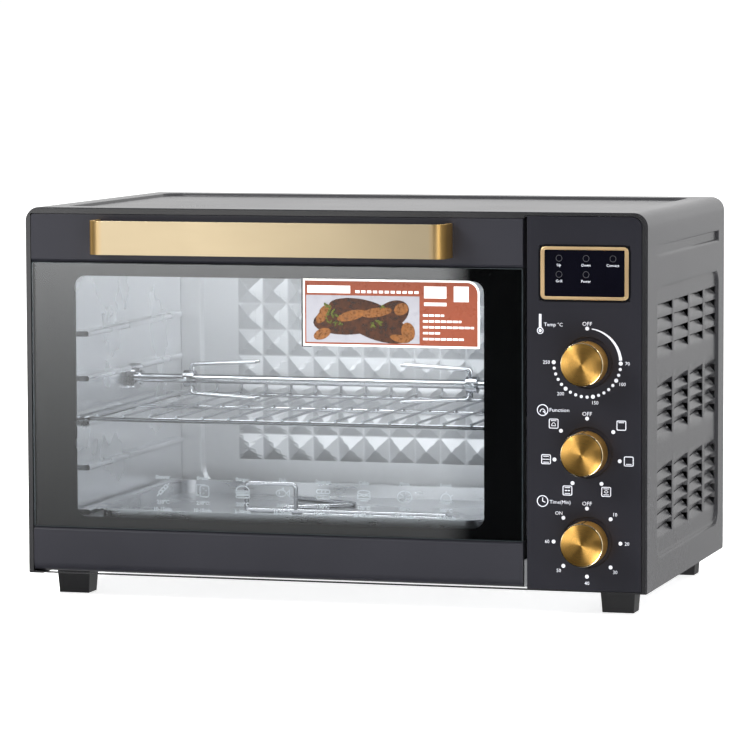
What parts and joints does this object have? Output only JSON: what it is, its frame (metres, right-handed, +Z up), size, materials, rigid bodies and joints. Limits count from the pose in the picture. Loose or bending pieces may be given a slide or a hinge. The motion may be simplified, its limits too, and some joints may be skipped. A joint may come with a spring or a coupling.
{
  "type": "toaster oven",
  "caption": "Counter-top electric oven with a drop-down glass door, bar handle, side control panel with round knobs, wire rack, tray, spit and louvred cover.",
  "frame": {"origin": "bottom centre of the whole oven's box, at the level of the foot bottoms", "axes": "+X to the viewer's right, +Y from the door to the back, +Z up"},
  "size_m": [0.55, 0.3522, 0.339],
  "materials": {
    "black_coated_steel": "satin black coat",
    "cover_steel": "satin dark grey coat",
    "zinc_sheet": "zinc-coated sheet",
    "aluminised_steel": "bright aluminised sheet",
    "black_satin_trim": "satin black",
    "inner_steel": "black coat",
    "tempered_glass": "clear",
    "lens_glass": "clear ribbed",
    "champagne_metal": "brushed champagne gold",
    "gold_knob": "spun gold",
    "display_black": "gloss black",
    "foot_plastic": "matt black",
    "chrome_wire": "chrome plated wire",
    "tray_metal": "satin steel",
    "heater_sheath": "dull steel sheath",
    "ceramic": "white ceramic",
    "lamp_glass": "frosted bulb",
    "screw_steel": "plated",
    "motor_steel": "plated stampings",
    "switch_body": "moulded",
    "circuit_board": "green board"
  },
  "bodies": {
    "casing": {"outer_cover": "cover_steel", "rear_cover": "zinc_sheet", "casing_screws": "screw_steel", "cord_inlet_bush": "foot_plastic", "base_plate": "zinc_sheet", "front_left_foot": "foot_plastic", "back_left_foot": "foot_plastic", "front_right_foot": "foot_plastic", "back_right_foot": "foot_plastic", "front_rim": "black_coated_steel", "front_plate": "aluminised_steel", "cavity_left_wall": "aluminised_steel", "cavity_right_wall": "aluminised_steel", "cavity_ceiling": "aluminised_steel", "cavity_floor": "aluminised_steel", "cavity_back_wall": "aluminised_steel", "upper_heating_elements": "heater_sheath", "lower_heating_elements": "heater_sheath", "heater_insulators": "ceramic", "lamp_lens": "lens_glass", "oven_lamp": "lamp_glass", "fan_housing": "zinc_sheet", "fan_motor": "motor_steel", "spit_bearing": "screw_steel", "rotisserie_motor": "motor_steel", "hinge_brackets": "zinc_sheet", "hinge_springs": "screw_steel", "control_panel": "black_coated_steel", "display_bezel": "champagne_metal", "display_window": "display_black", "display_board": "circuit_board", "terminal_block": "foot_plastic", "thermostat": "switch_body", "function_switch": "switch_body", "timer_clockwork": "switch_body"},
    "door": {"door_top_trim": "black_satin_trim", "door_bottom_trim": "black_satin_trim", "door_glass": "tempered_glass", "door_left_frame": "inner_steel", "door_right_frame": "inner_steel", "door_handle": "champagne_metal", "handle_screws": "screw_steel", "hinge_pins": "screw_steel"},
    "rack": {"wire_rack": "chrome_wire", "rack_fence": "chrome_wire"},
    "tray": {"baking_tray": "tray_metal", "tray_tongs": "chrome_wire", "spit_lifter": "chrome_wire"},
    "crumb_tray": {"crumb_tray": "aluminised_steel"},
    "spit": {"spit_rod": "chrome_wire", "spit_forks": "chrome_wire", "fork_screws": "chrome_wire", "drive_socket": "screw_steel"},
    "fan": {"fan_blade": "screw_steel"},
    "temperature_control": {"temperature_knob": "gold_knob", "temperature_shaft": "screw_steel"},
    "function_control": {"function_knob": "gold_knob", "function_shaft": "screw_steel"},
    "timer_control": {"timer_knob": "gold_knob", "timer_shaft": "screw_steel"}
  },
  "joints": [
    {"name": "door_hinge", "type": "hinge", "parent": "casing", "child": "door", "pos_m": [-0.0505, -0.1419, 0.0305], "axis": [1, 0, 0], "range_deg": [0, 85], "stiffness_Nm_per_rad": 0.3, "springref_deg": -171.89},
    {"name": "rack_slide", "type": "slide", "parent": "casing", "child": "rack", "axis": [0, -1, 0], "range_m": [0, 0.09663]},
    {"name": "tray_slide", "type": "slide", "parent": "casing", "child": "tray", "axis": [0, -1, 0], "range_m": [0, 0.08179]},
    {"name": "crumb_tray_slide", "type": "slide", "parent": "casing", "child": "crumb_tray", "axis": [0, -1, 0], "range_m": [0, 0.0269]},
    {"name": "spit_turn", "type": "hinge", "parent": "casing", "child": "spit", "pos_m": [-0.05, 0.0071, 0.1795], "axis": [1, 0, 0], "continuous": true},
    {"name": "fan_turn", "type": "hinge", "parent": "casing", "child": "fan", "pos_m": [0.15, 0.0651, 0.228], "axis": [1, 0, 0], "continuous": true},
    {"name": "temperature_turn", "type": "hinge", "parent": "casing", "child": "temperature_control", "pos_m": [0.2248, -0.1599, 0.2143], "axis": [0, 1, 0], "range_deg": [0, 270]},
    {"name": "function_turn", "type": "hinge", "parent": "casing", "child": "function_control", "pos_m": [0.2248, -0.1599, 0.1388], "axis": [0, 1, 0], "continuous": true},
    {"name": "timer_turn", "type": "hinge", "parent": "casing", "child": "timer_control", "pos_m": [0.2248, -0.1599, 0.063], "axis": [0, 1, 0], "range_deg": [-45, 270]}
  ],
  "couplings": [
    {"joint": "rack_slide", "follows": "door_hinge", "m_per_rad": 0.065},
    {"joint": "tray_slide", "follows": "door_hinge", "m_per_rad": 0.055},
    {"joint": "crumb_tray_slide", "follows": "door_hinge", "m_per_rad": 0.018}
  ]
}
